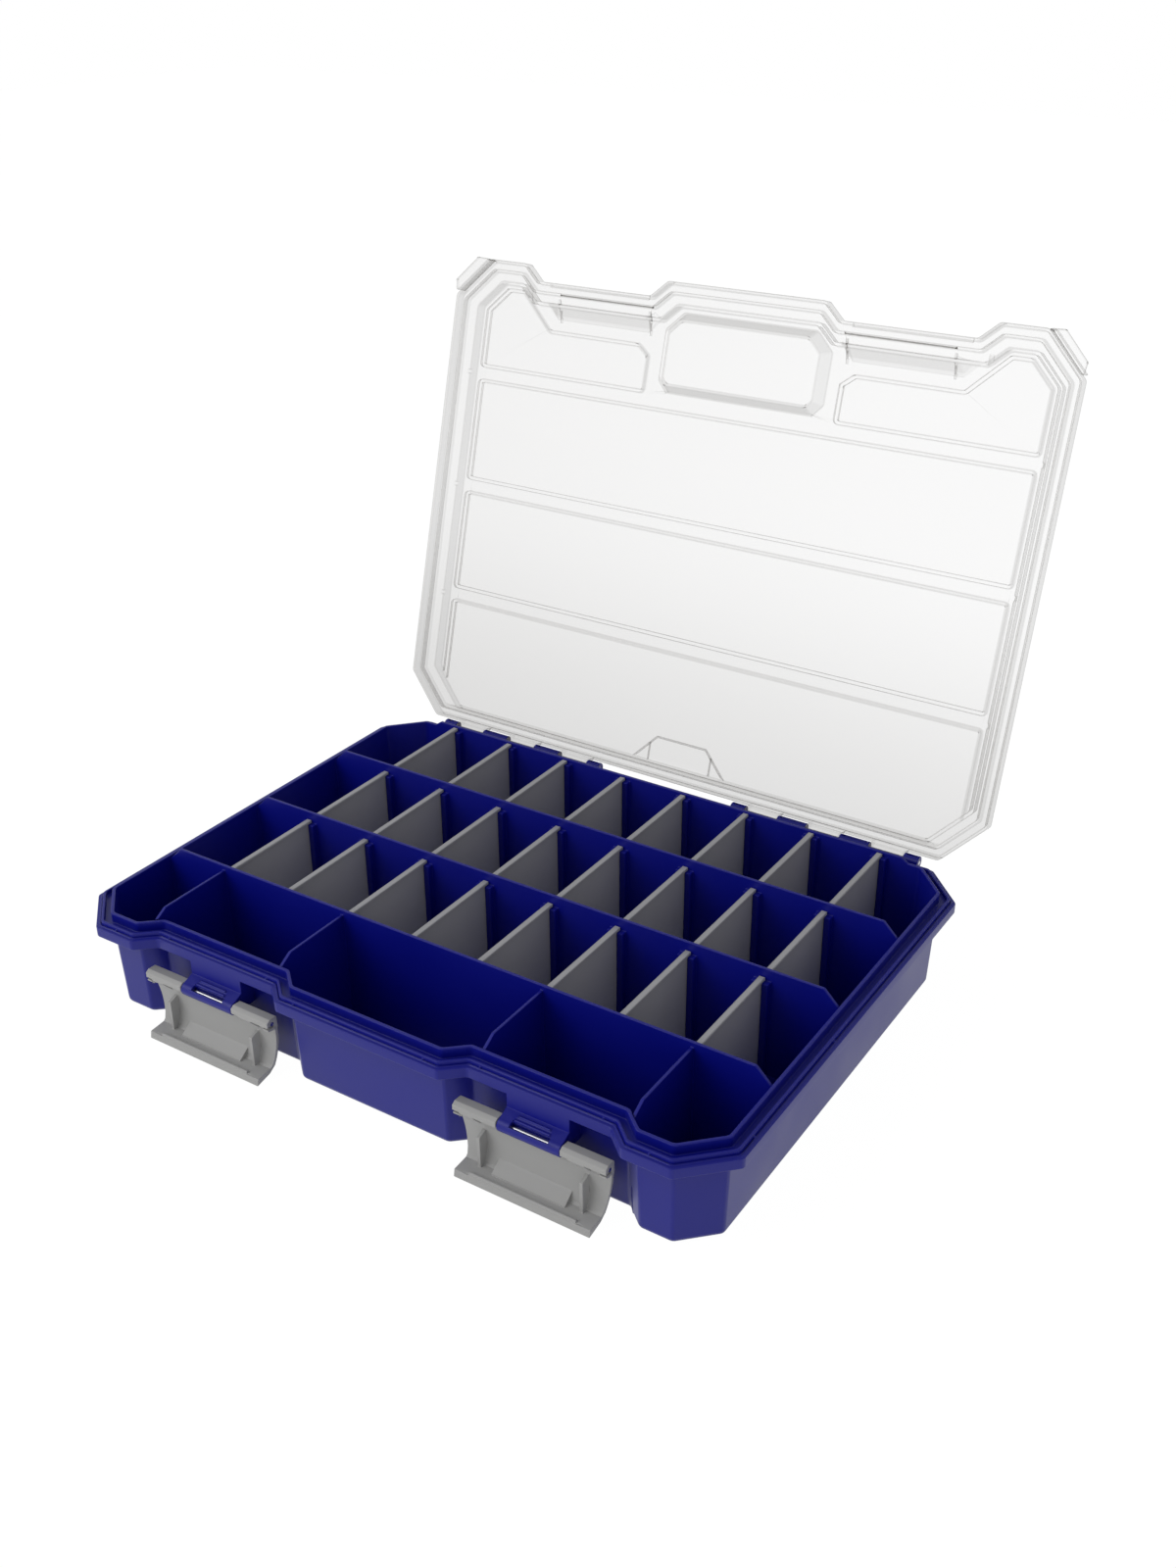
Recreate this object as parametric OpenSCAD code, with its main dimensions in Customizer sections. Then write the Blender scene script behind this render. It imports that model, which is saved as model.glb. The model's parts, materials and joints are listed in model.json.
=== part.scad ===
// Small-parts organiser case: a moulded tray with three rows of cells, lift-out
// dividers, a clear lid on two rear hinge pins and two front latches on pins.
// X runs across the case, Y from the latches to the hinge, Z up.
// The origin is the centre of the tray's underside. The lid stands open.

/* [Cells] */
// Number of small cells in a row
columns = 9; // [8:1:11]
// Number of rows of small cells
rows = 3; // [2:1:3]
// Distance from one divider to the next
cell_pitch = 46; // [43:0.5:52]
// Distance from one row wall to the next
row_pitch = 77.2; // [70:0.1:90]
// Depth of the front row of large compartments
front_row = 65.1; // [58:0.1:80]
// Extra length of the two end cells of a row
end_extra = 0.5; // [0:0.1:3]

/* [Tray] */
// Height of the tray's rim above its underside
rim_h = 64.7; // [56:0.1:90]
// Thickness of the tray's outer wall
wall = 2; // [1.6:0.1:2.6]
// Thickness of the tray's floor
floor_t = 2; // [1.8:0.1:4]
// How far the walls lean in from the rim to the underside
draft = 2.4; // [0.6:0.1:3.2]
// Radius of the tray's upright corners
corner_r = 4; // [2:0.5:6]
// Radius between the walls and the underside
foot_r = 4; // [1:0.1:4]
// Width of the rear corners' cut, along X
rear_cut_x = 20; // [14:0.5:26]
// Length of the rear corners' cut, along Y
rear_cut_y = 21.5; // [14:0.5:26]
// Size of the front corners' cut
front_cut = 19.5; // [14:0.5:24]
// Thickness of the walls between rows
row_wall_t = 1.8; // [1.4:0.1:2.4]
// Height of the row walls above the rim
row_wall_rise = 7.5; // [5:0.1:9]
// Height of the front row's walls above the rim
front_wall_rise = 4.4; // [3:0.1:4.6]
// Height of the rear wall's middle above the rim
rear_rise = 3.3; // [1:0.1:4]
// Width and drop of the bevel at a row wall's ends
end_bevel = 9.7; // [7:0.1:12]

/* [Rim] */
// Width of the flange outside the wall's centre line
flange_w = 9.9; // [9:0.1:12]
// Thickness of the flange
flange_t = 2; // [1.6:0.1:2.6]
// Depth of the flange's top below the rim
ledge_drop = 6.1; // [5:0.1:7]
// Depth of the skirt's lower edge below the rim
skirt_drop = 12.4; // [10:0.1:14]
// Thickness of the flange's skirt
skirt_t = 1.8; // [1.4:0.1:2.4]
// Distance of the sealing lip from the wall's centre line
lip_at = 5.9; // [5.4:0.1:6.4]
// Thickness of the sealing lip
lip_t = 1.6; // [1.2:0.1:1.8]
// Depth of the sealing lip's top below the rim
lip_drop = 3.4; // [2.6:0.1:4.4]
// Distance of the ledge's fine bead from the wall's centre line
bead_at = 7.5; // [7.2:0.1:7.6]
// Width and height of the fine bead
bead_line = 0.6; // [0.4:0.1:0.8]

/* [Dividers] */
// Thickness of a divider
divider_t = 2; // [1.4:0.1:2.6]
// Width of the bead along a divider's top
bead_w = 3.7; // [2.6:0.1:4]
// Height of the bead
bead_h = 2; // [1.5:0.1:3]
// Height of a divider's top above the rim
divider_rise = 2.5; // [1:0.1:3]
// Clearance round a divider in its slots
slot_gap = 0.25; // [0.1:0.05:0.4]
// Depth of a divider's slot
slot_depth = 1.4; // [1:0.1:2.5]
// Thickness of each rib beside a slot
slot_rib = 4; // [1:0.1:5]

/* [Latches] */
// Distance of each latch's centre from the case's side
latch_in = 98.1; // [92:0.1:106]
// Half width of the recess behind a latch
recess_half = 47; // [46:0.1:52]
// Depth of the recess behind a latch
recess_d = 10.3; // [8:0.1:14]
// Width of the slanted side of the recess
recess_slant = 11.5; // [9:0.1:14]
// Depth of the latch pin's axis below the rim
latch_pin_drop = 27; // [25:0.1:29]
// Distance of the latch pin's axis in front of the front wall
latch_pin_out = 5.3; // [4:0.1:7]
// Radius of the steel pins
pin_r = 1.25; // [1:0.05:1.5]
// Radial clearance of a pin in the pieces that turn on it
pin_fit = 0.06; // [0.02:0.01:0.1]
// Radius of the knuckles round the latch pins
knuckle_r = 4; // [3.4:0.1:4.4]
// Half width of a latch at its knuckles
latch_half = 46.4; // [44:0.1:46.6]
// Half width of a latch at its hook
hook_half = 41.7; // [38:0.1:43]
// Half width of the tray's boss between a latch's knuckles
boss_half = 19; // [15:0.1:22]
// Gap between the boss and the knuckles beside it
knuckle_gap = 0.4; // [0.2:0.05:1]
// Thickness of the latch's shell
latch_t = 2.2; // [1.8:0.1:2.8]
// Distance from the latch pin to the inside of the hook
hook_reach = 32.1; // [31.8:0.1:33]
// Outer edge of the latch's webs, from its centre
web_out = 42; // [40:0.1:43]
// Inner edge of the left web
web_in = 33.5; // [31:0.1:35]
// Start of the right web
web_start = 24; // [21:0.1:27]
// Distance of each stiffening rib from the latch's centre
rib_at = 31.3; // [28:0.1:32]
// Half length of the ridge on the hook
ridge_half = 32.7; // [28:0.1:36]
// Half length of the wedge along the latch's foot
wedge_half = 22.6; // [18:0.1:26]

/* [Lid] */
// Thickness of the lid
lid_t = 2.2; // [1.8:0.1:2.8]
// Height of the lid's ceiling above the rim
ceiling_rise = 8.6; // [8.2:0.1:14]
// Height of the sunk panels' underside above the rim
panel_rise = 5.3; // [5:0.1:7]
// Gap between the lid and the tray's rim
lid_gap = 0.4; // [0.2:0.05:0.8]
// Depth of the corner tabs' underside below the rim
tab_drop = 6.9; // [5.7:0.1:9]
// Thickness of the corner tabs
tab_t = 2; // [1.6:0.1:2.6]
// Gap between the lid's panels and the latch ramps beside them
ramp_land = 2.4; // [2:0.1:6]
// Depth of the label panel, front to back
label_d = 53.6; // [44:0.1:55]
// Size of the label panel's cut corners
label_cut = 8; // [6:0.1:14]
// Length of the rib that each latch catches behind
catch_len = 76; // [60:1:84]
// Angle through which the lid opens
open_angle = 105.7; // [95:0.1:115]

/* [Hinge] */
// Radius of the hinge's knuckles
hinge_r = 4; // [3.6:0.1:4.4]
// Gap between the knuckles and the edge of the flange
hinge_gap = 0.3; // [0.3:0.05:0.8]
// Depth of the hinge axis below the rim
hinge_drop = 6.2; // [6.2:0.1:8.4]
// Distance from the case's side to the last tray knuckle's end
hinge_in = 26.5; // [24:0.1:32]
// Width of a full tray knuckle
hinge_knuckle_w = 20; // [14:0.5:20]
// Width of the space for a lid knuckle
hinge_space_w = 23.4; // [18:0.1:23.4]

/* [Hidden] */
row_names = ["rear", "middle", "front"];

tray_blue = [0.06, 0.06, 0.45];
lid_clear = [0.9, 0.92, 0.93, 0.45];
latch_grey = [0.57, 0.57, 0.56];
divider_grey = [0.33, 0.33, 0.33];
steel = [0.8, 0.8, 0.82];

eps = 0.01;
round_fn = 48;

// Plan of the tray, at the centre line of its wall
depth = rows * row_pitch + front_row;
side_x = columns * cell_pitch / 2 + end_extra;
rear_y = depth / 2;
front_y = -depth / 2;
slant = draft / rim_h;

// Heights
row_top = rim_h + row_wall_rise;
ledge_z = rim_h - ledge_drop;
skirt_z = rim_h - skirt_drop;
wall_foot = 0.7 * floor_t;
bead_z = rim_h + divider_rise - bead_h;
slot_top = bead_z - 0.2;

// Dividers and their slots: the pads take up the rear wall's lean
pad_d = draft;
divider_len = row_pitch - row_wall_t / 2 - wall / 2 - 2 * pad_d - 2 * slot_gap;
slot_block_w = divider_t + 2 * slot_gap + 2 * slot_rib;

// Latch
latch_pin_y = front_y - latch_pin_out;
latch_pin_z = rim_h - latch_pin_drop;
latch_x = side_x - latch_in;
recess_y = front_y + recess_d;
recess_face = recess_y - flange_w;
latch_bar_x = boss_half + knuckle_gap;

// Hinge
hinge_out = flange_w + hinge_r + hinge_gap;
hinge_y = rear_y + hinge_out;
hinge_z = rim_h - hinge_drop;
hinge_end = side_x - hinge_in;
hinge_step = min(hinge_knuckle_w + hinge_space_w, (hinge_end - 20) / 3);
hinge_start = hinge_end - 3 * hinge_step;

// Lid
plate_z = rim_h + lid_gap;
ceiling_z = rim_h + ceiling_rise;
panel_z = rim_h + panel_rise;
cap_in = 3;
cap_back = 6.6;
bar_half = 4;
panel_in = 8.7;
label_half = latch_x - recess_half - ramp_land;

function divider_name(r, c) = str("divider_", row_names[r], "_", c);
function unit(v) = v / norm(v);
function right_of(v) = [v[1], -v[0]];

// Polygon p moved outward by d at every side
function grown(p, d) = [for (i = [0:len(p) - 1])
    let (n = len(p), a = p[(i + n - 1) % n], b = p[i], c = p[(i + 1) % n],
         u = right_of(unit(b - a)), v = right_of(unit(c - b)))
    b + (u + v) * d / (1 + u * v)];

// Points of an arc about c, from angle a to angle b, in n steps
function arc(c, r, a, b, n) = [for (k = [0:n]) c + r * [cos(a + (b - a) * k / n), sin(a + (b - a) * k / n)]];

// Polygon p with every corner rounded to radius r
function rounded(p, r, n = 4) = [for (i = [0:len(p) - 1])
    let (m = len(p), b = p[i], u = unit(p[(i + m - 1) % m] - b), v = unit(p[(i + 1) % m] - b),
         half = acos(max(-1, min(1, u * v))) / 2,
         t = min(r / tan(half), 0.45 * norm(p[(i + m - 1) % m] - b), 0.45 * norm(p[(i + 1) % m] - b)),
         rr = t * tan(half), c = b + unit(u + v) * rr / sin(half),
         s = b + u * t - c, e = b + v * t - c,
         a0 = atan2(s[1], s[0]), turn = atan2(s[0] * e[1] - s[1] * e[0], s * e))
    for (q = arc(c, rr, a0, a0 + turn, n)) q];

// The wall's centre line; back moves the rear side outward
function plan(back = 0) = [
    [side_x, rear_y - rear_cut_y],
    [side_x - rear_cut_x - back * rear_cut_x / rear_cut_y, rear_y + back],
    [-side_x + rear_cut_x + back * rear_cut_x / rear_cut_y, rear_y + back],
    [-side_x, rear_y - rear_cut_y],
    [-side_x, front_y + front_cut],
    [-side_x + front_cut, front_y],
    [-latch_x - recess_half - recess_slant, front_y],
    [-latch_x - recess_half, recess_y],
    [-latch_x + recess_half, recess_y],
    [-latch_x + recess_half + recess_slant, front_y],
    [latch_x - recess_half - recess_slant, front_y],
    [latch_x - recess_half, recess_y],
    [latch_x + recess_half, recess_y],
    [latch_x + recess_half + recess_slant, front_y],
    [side_x - front_cut, front_y],
    [side_x, front_y + front_cut]];

function outline(d, back = 0) = rounded(grown(plan(back), d), corner_r);

// Y of the front wall's centre line at x
function front_wall_y(x) =
    let (off = abs(abs(x) - latch_x) - recess_half)
    off <= 0 ? recess_y : off >= recess_slant ? front_y : recess_y - recess_d * off / recess_slant;

function lean(z) = (rim_h - z) * slant;

module slab(points, z0, z1) {
    translate([0, 0, z0]) linear_extrude(z1 - z0) polygon(points);
}

module ring(outer, inner, z0, z1) {
    difference() {
        slab(outer, z0, z1);
        slab(inner, z0 - 1, z1 + 1);
    }
}

// Solid through a list of [z, points], all with as many points. Where it is a
// hoop, the last station is joined to the first in place of two end faces.
module loft(stations, hoop = false) {
    n = len(stations[0][1]);
    m = len(stations);
    points = [for (s = stations, p = s[1]) [p[0], p[1], s[0]]];
    sides = [for (k = [0:m - (hoop ? 1 : 2)], i = [0:n - 1])
        let (q = (k + 1) % m, j = (i + 1) % n) [k * n + i, q * n + i, q * n + j, k * n + j]];
    ends = hoop ? [] : [[for (i = [0:n - 1]) i], [for (i = [n - 1:-1:0]) (m - 1) * n + i]];
    polyhedron(points, concat(ends, sides));
}

// Profile drawn in Y and Z, extruded along X from x0 to x1
module along_x(x0, x1) {
    translate([x0, 0, 0]) rotate([90, 0, 90]) linear_extrude(x1 - x0) children();
}

// Profile drawn in X and Z, extruded along Y from y0 to y1
module along_y(y0, y1) {
    translate([0, y1, 0]) rotate([90, 0, 0]) linear_extrude(y1 - y0) children();
}

module mirror_pair() {
    children();
    mirror([1, 0, 0]) children();
}

// ---- Tray ----

// Inset of the wall's foot at height z, round the foot's radius
function foot_in(z) = z >= foot_r ? 0 : foot_r - sqrt(foot_r * foot_r - (foot_r - z) * (foot_r - z));

// The leaning wall is a hoop: round the foot, up the outside, over the rim and down
// the inside into the floor
module tray_shell() {
    steps = 5;
    foot = [for (k = [0:steps]) let (z = foot_r * (1 - cos(90 * k / steps)))
        [z, outline(wall / 2 - lean(z) - foot_in(z))]];
    toe = outline(wall / 2 - draft - foot_r - 0.6);
    loft(concat(foot,
                [[rim_h, outline(wall / 2)],
                 [rim_h, outline(-wall / 2)],
                 [0.55 * floor_t, outline(-wall / 2 - lean(0.55 * floor_t))],
                 [0.55 * floor_t, toe],
                 [0, toe]]), hoop = true);
    slab(outline(wall / 2 - draft - foot_r - 0.3), 0, 0.8 * floor_t);
    slab(outline(wall / 2 - lean(floor_t) - wall + 0.3), 0.45 * floor_t, floor_t);
}

// Short ribs across the ledge, from the lip to the fine bead
module ledge_ticks() {
    inner = lip_at;
    outer = bead_at + bead_line / 2;
    high = ledge_z + 0.5 * (ledge_drop - lip_drop);
    mirror_pair() {
        for (p = [[latch_x - recess_half - 18.6, front_y], [latch_x - recess_half + 10, recess_y],
                  [latch_x + recess_half - 10, recess_y], [latch_x + recess_half + 22, front_y]])
            slab([[p[0] - 0.5, p[1] - outer], [p[0] + 0.5, p[1] - outer],
                  [p[0] + 0.5, p[1] - inner], [p[0] - 0.5, p[1] - inner]], ledge_z - eps, high);
        for (y = [front_y + 30.7, front_y + 119])
            slab([[side_x + inner, y - 0.5], [side_x + outer, y - 0.5],
                  [side_x + outer, y + 0.5], [side_x + inner, y + 0.5]], ledge_z - eps, high);
    }
}

module rim_flange() {
    mid = outline(0);
    ring(outline(flange_w), mid, ledge_z - flange_t, ledge_z);
    ring(outline(flange_w), outline(flange_w - skirt_t), skirt_z, ledge_z);
    ring(outline(lip_at + lip_t / 2), outline(lip_at - lip_t / 2), ledge_z - eps, rim_h - lip_drop);
    ring(outline(bead_at + bead_line / 2), outline(bead_at - bead_line / 2),
         ledge_z - eps, ledge_z + bead_line);
    ledge_ticks();
}

module rear_raise() {
    end_x = side_x - rear_cut_x - 8.3;
    along_y(rear_y - wall / 2, rear_y + wall / 2)
        polygon([[-end_x, rim_h - 2], [end_x, rim_h - 2], [end_x, rim_h],
                 [end_x - 4.7, rim_h + rear_rise], [-end_x + 4.7, rim_h + rear_rise], [-end_x, rim_h]]);
}

// Walls' side views, grown by d
function row_wall_side(d = 0) =
    let (foot_x = side_x - draft, top_x = side_x - wall / 2 - end_bevel, end_z = row_top - end_bevel)
    grown([[-foot_x, wall_foot], [foot_x, wall_foot], [side_x, end_z], [side_x - wall / 2, end_z],
           [top_x, row_top], [-top_x, row_top], [-side_x + wall / 2, end_z], [-side_x, end_z]], d);

function front_wall_side(x, d = 0) =
    let (back = front_y + front_row, wall_y = front_wall_y(x), top = rim_h + front_wall_rise)
    grown([[wall_y + draft, wall_foot], [back, wall_foot], [back, top],
           [wall_y + 2 * front_wall_rise + 1, top], [wall_y + wall / 2 + 0.5, rim_h - 0.5],
           [wall_y, rim_h - 0.5]], d);

module row_wall(r, d = 0) {
    y = rear_y - (r + 1) * row_pitch;
    along_y(y - row_wall_t / 2 - d, y + row_wall_t / 2 + d) polygon(row_wall_side(d));
}

// A wall of the front row, from the last row wall to the front wall
module front_wall(x, d = 0) {
    along_x(x - row_wall_t / 2 - d, x + row_wall_t / 2 + d) polygon(front_wall_side(x, d));
}

module inner_walls(d = 0) {
    for (r = [0:rows - 1]) row_wall(r, d);
    for (k = [1.5, columns / 2 - 1], s = [-1, 1]) front_wall(s * k * cell_pitch, d);
}

// A divider's slot on a wall whose face is at y; side is where it points, 1 or -1
module slot(x, y, side) {
    reach = pad_d + slot_depth;
    difference() {
        translate([x - slot_block_w / 2, side > 0 ? y - 0.5 : y - reach, wall_foot])
            cube([slot_block_w, reach + 0.5, slot_top - wall_foot]);
        translate([x - divider_t / 2 - slot_gap, side > 0 ? y + pad_d : y - pad_d - slot_depth - 1, floor_t])
            cube([divider_t + 2 * slot_gap, slot_depth + 1, rim_h]);
    }
}

module slots() {
    for (r = [0:rows - 1], c = [1:columns - 1]) {
        x = (c - columns / 2) * cell_pitch;
        back_face = rear_y - r * row_pitch - (r == 0 ? wall : row_wall_t) / 2;
        slot(x, back_face, -1);
        slot(x, rear_y - (r + 1) * row_pitch + row_wall_t / 2, 1);
    }
}

// Boss for a latch's pin, drawn about the pin's axis
module latch_boss() {
    face = recess_face - latch_pin_y;
    root = recess_y - latch_pin_y;
    top = latch_pin_drop - skirt_drop + 1;
    slope = [[face, 6.6], [-2.4, 3.2]];
    difference() {
        union() {
            along_x(-boss_half, boss_half)
                polygon([[root, top], [face, top], slope[0], slope[1], [0, 0], [0, -knuckle_r],
                         [root, -knuckle_r]]);
            along_x(-boss_half, boss_half) circle(knuckle_r, $fn = round_fn);
            for (k = [0:1])
                along_x(-10.8 + 1.1 * k, 10.8 - 1.1 * k)
                    translate(slope[1] + unit(slope[0] - slope[1]) * (3.6 + 2.6 * k))
                        circle(0.7, $fn = 16);
        }
        along_x(-boss_half + 2, boss_half - 2)
            polygon([[root - 1.6, -knuckle_r - 1], [root - 1.6, top + 1], [face + skirt_t, top + 1],
                     [face + skirt_t, 7.4], [knuckle_r + 0.4, 4.2], [knuckle_r + 0.4, -knuckle_r - 1]]);
        along_x(-boss_half - 1, boss_half + 1) circle(pin_r + pin_fit, $fn = round_fn);
        along_x(-11.6, 11.6) rotate(22.8) translate([-pin_r - 0.4, 0]) square([2 * pin_r + 0.8, 6]);
    }
}

// Tray knuckle, drawn about the hinge axis, from x0 to x1
module tray_knuckle(x0, x1) {
    root = -(hinge_out - flange_w + skirt_t / 2);
    difference() {
        along_x(x0, x1) union() {
            circle(hinge_r, $fn = round_fn);
            polygon([[root, -hinge_r - 0.6], [0, -hinge_r], [0, 0], [root, hinge_drop - ledge_drop]]);
        }
        along_x(x0 - 1, x1 + 1) circle(pin_r + pin_fit, $fn = round_fn);
        // pocket that keeps the wall even
        along_x(x0 + 1.6, x1 - 1.6)
            polygon([[-0.7, pin_r + 0.7], [2.3, pin_r + 0.7], [2.3, hinge_r + 1], [-0.7, hinge_r + 1]]);
    }
}

module tray() {
    color(tray_blue) {
        tray_shell();
        rim_flange();
        rear_raise();
        inner_walls();
        slots();
        for (s = [-1, 1]) translate([s * latch_x, latch_pin_y, latch_pin_z]) latch_boss();
        mirror_pair() translate([0, hinge_y, hinge_z]) {
            tray_knuckle(hinge_start, hinge_start + hinge_knuckle_w / 2);
            for (k = [1:2])
                tray_knuckle(hinge_start - hinge_knuckle_w / 2 + k * hinge_step,
                             hinge_start + hinge_knuckle_w / 2 + k * hinge_step);
            tray_knuckle(hinge_end - hinge_knuckle_w / 2, hinge_end);
        }
    }
}

// ---- Divider ----

module divider(r, c) {
    x = (c - columns / 2) * cell_pitch;
    back = rear_y - r * row_pitch - (r == 0 ? wall : row_wall_t) / 2 - pad_d - slot_gap;
    bead_end = pad_d - 0.3;
    foot = floor_t + 0.3;
    color(divider_grey) {
        along_y(back - divider_len, back)
            translate([x - divider_t / 2, foot]) square([divider_t, bead_z + eps - foot]);
        along_y(back - divider_len - bead_end, back + bead_end)
            polygon(rounded([[x - bead_w / 2, bead_z], [x + bead_w / 2, bead_z],
                             [x + bead_w / 2, bead_z + bead_h], [x - bead_w / 2, bead_z + bead_h]], 0.3, 2));
    }
}

// ---- Latch, hanging open, drawn about its pin's axis ----

// Shell's side view: a shallow arc down the back, a rounded corner and the hook
function latch_side() =
    let (r = 48.5, c = [3.3 - r + 2.3, -17.15], n = 8, a0 = asin(14.75 / r))
    concat(
        arc(c, r, a0, -a0, n),
        [[-1.3, -hook_reach - 2.8], [-11.6, -hook_reach - 5], [-10.8, -hook_reach - 0.7], [-0.6, -hook_reach]],
        [[0.9, -hook_reach + 1.2]],
        arc(c, r - latch_t, -0.72 * a0, a0, n));

module latch_body() {
    bar = rounded([[knuckle_r, -4], [knuckle_r, 3.4], [-1.6, 3.8], [-knuckle_r, 2.4], [-knuckle_r, -1],
                   [-2.2, -3.4]], 0.8, 2);
    difference() {
        intersection() {
            union() {
                along_x(-latch_half, latch_half) polygon(latch_side());
                for (s = [-1, 1]) scale([s, 1, 1]) along_x(latch_bar_x, latch_half) union() {
                    polygon(bar);
                    polygon([[knuckle_r, 0], [1, 0], [1, -4], [knuckle_r + 0.3, -6]]);
                }
                // webs from the bars' front faces down to the shell
                for (w = [[-web_out, -web_in], [web_start, web_in]])
                    along_x(w[0], w[1]) polygon([[-knuckle_r, 0], [-knuckle_r, -1.4], [3.2, -9.6], [3.2, 0]]);
                // jaws under the pin at the latch's ends
                for (w = [[-latch_half, -web_out + 1], [web_out - 1, latch_half]])
                    along_x(w[0], w[1])
                        polygon([[3, -2.4], [-3.6, -2.4], [-3.4, -3.4], [-1, -4.2], [3, -4.8]]);
                // ridge on the hook
                along_x(-ridge_half, ridge_half)
                    polygon([[-10.6, -hook_reach - 1.5], [-10.2, -hook_reach + 0.7], [-9, -hook_reach + 0.7],
                             [-8, -hook_reach - 1.5]]);
                // stiffening ribs
                for (s = [-1, 1])
                    along_x(s * rib_at - 1, s * rib_at + 1)
                        polygon([[4.2, -10.8], [-3.2, -13.3], [-3.1, -hook_reach - 1], [2, -hook_reach - 1]]);
                // wedge along the shell's foot
                along_x(-wedge_half, wedge_half)
                    polygon([[3.4, -25.6], [1.3, -27.4], [-4.7, -hook_reach + 0.4], [-4.7, -hook_reach - 1],
                             [2, -hook_reach - 1]]);
            }
            along_y(-20, 20)
                polygon([[-latch_half, 8], [latch_half, 8], [latch_half, -3], [hook_half, -hook_reach],
                         [hook_half, -hook_reach - 13], [-hook_half, -hook_reach - 13],
                         [-hook_half, -hook_reach], [-latch_half, -3]]);
        }
        // room for the tray's boss
        along_x(-latch_bar_x, latch_bar_x) translate([-6, -6]) square([14, 14]);
        // the bars are open in front, away from the webs
        for (w = [[-web_in, -latch_bar_x + 1, -5.2], [-latch_half - 1, -web_out, -2.4],
                  [latch_bar_x - 1, web_start, -5.2], [web_in, web_out, -5.2],
                  [web_out - eps, latch_half + 1, -2.4]])
            along_x(w[0], w[1]) polygon([[-5, -0.9], [0.6, -0.9], [1.6, -2.2], [1.6, w[2]], [-5, w[2]]]);
        along_x(-latch_half - 1, latch_half + 1) circle(pin_r + pin_fit, $fn = round_fn);
    }
}

module latch(side) {
    color(latch_grey) translate([side * latch_x, latch_pin_y, latch_pin_z]) latch_body();
}

module latch_pin(side) {
    color(steel) translate([side * latch_x, latch_pin_y, latch_pin_z])
        along_x(-latch_half + 0.1, latch_half - 0.1) circle(pin_r, $fn = round_fn);
}

module hinge_pin(side) {
    color(steel) scale([side, 1, 1]) translate([0, hinge_y, hinge_z])
        along_x(hinge_start + 0.5, hinge_end) circle(pin_r, $fn = round_fn);
}

// ---- Lid ----

// Ramp cut into the ceiling: edge is its [x0, x1] at the rim, top its [x0, x1] at
// the ceiling and low its [x0, x1] at the foot; y_low and y_top are its ends in Y
module ramp(edge, top, low, y_low, y_top, z_low, z_top) {
    points = [[low[0], y_low, z_low], [low[1], y_low, z_low],
              [edge[0], y_low, z_top], [edge[1], y_low, z_top],
              [top[1], y_top, z_top], [top[0], y_top, z_top]];
    hull() for (p = points) translate(p) cube(eps, center = true);
}

// Front ramps leave room for the latches' hooks; t moves the surface down and in
module front_ramp(t) {
    y_low = recess_y - 3 - t;
    y_top = recess_y + 13.4 + t;
    x0 = latch_x - recess_half;
    x1 = latch_x + recess_half;
    ramp([x0 - 4 - t, x1 + 4 + t], [x0 + 10 - t, x1 - 13 + t], [x0 + 5, x1 - 18],
         y_low, y_top, rim_h + 2.6 - t, ceiling_z + lid_t + 0.4);
}

module rear_ramp(t) {
    ramp([-39 - t, 39 + t], [-18.2 - t, 18.2 + t], [-22.7, 22.7], rear_y + 5 + t, rear_y - 15.7 - t,
         rim_h + rear_rise + 2.6 - t, panel_z + lid_t + 0.05);
}

function wide_panel(y0, y1) =
    let (x = side_x - panel_in) rounded([[-x, y0], [x, y0], [x, y1], [-x, y1]], 3);

function corner_panel() =
    let (x0 = label_half + bar_half + 3.9, x1 = side_x - panel_in,
         y0 = front_y + panel_in - 1.5, y1 = front_y + front_row - bar_half,
         ramp_y = recess_y + 20.1, end = latch_x + recess_half)
    rounded([[x1, y1], [x0, y1], [x0, ramp_y + 6.6], [x0 + 8.5, ramp_y], [end - 10, ramp_y],
             [end + 14, y0], [x1 - 15.4, y0], [x1, y0 + 15.2]], 3);

function label_panel(inset) =
    let (x = label_half, y0 = front_y + 6.4, y1 = y0 + label_d, c = label_cut)
    rounded(grown([[x, y0 + 1.53 * c], [x, y1 - c], [x - 0.9 * c, y1], [-x + 0.9 * c, y1],
                   [-x, y1 - c], [-x, y0 + 1.53 * c], [-x + 1.56 * c, y0], [x - 1.56 * c, y0]],
                  -inset), 3);

// Panels sunk into the ceiling, grown by d and filled from z0 up to z1. The rear one
// steps down all the way to the rear.
module sunk_panels(d, z0, z1) {
    for (r = [0:rows - 1]) {
        y1 = rear_y + (r == 0 ? cap_back + 5 : -r * row_pitch - bar_half);
        y0 = rear_y - (r + 1) * row_pitch + bar_half;
        slab(grown(wide_panel(y0, y1), d), z0, z1);
    }
    mirror_pair() slab(grown(corner_panel(), d), z0, z1);
}

function tab_outline() =
    let (x = side_x + flange_w, y = front_y - flange_w, c = front_cut)
    rounded([[x - 8, y + c + 3.2], [x - c - 4.7, y + 8], [x - c - 4.7, y], [x - c + 4.5, y - 0.4],
             [x + 0.7, y + c - 3.9], [x, y + c + 3.2]], 1.5, 3);

// Finger tab at a front corner: a plate beside the tray's flange, on a wall that
// hangs from the lid's rim
module corner_tab() {
    low = rim_h - tab_drop;
    top = plate_z + lid_t;
    root = flange_w + lid_gap;
    difference() {
        slab(tab_outline(), low, top);
        slab(outline(root), low - 1, plate_z);
        difference() {
            slab(outline(root + 30), low + tab_t, top + 1);
            slab(outline(root + skirt_t), low, top + 2);
        }
    }
}

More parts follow.
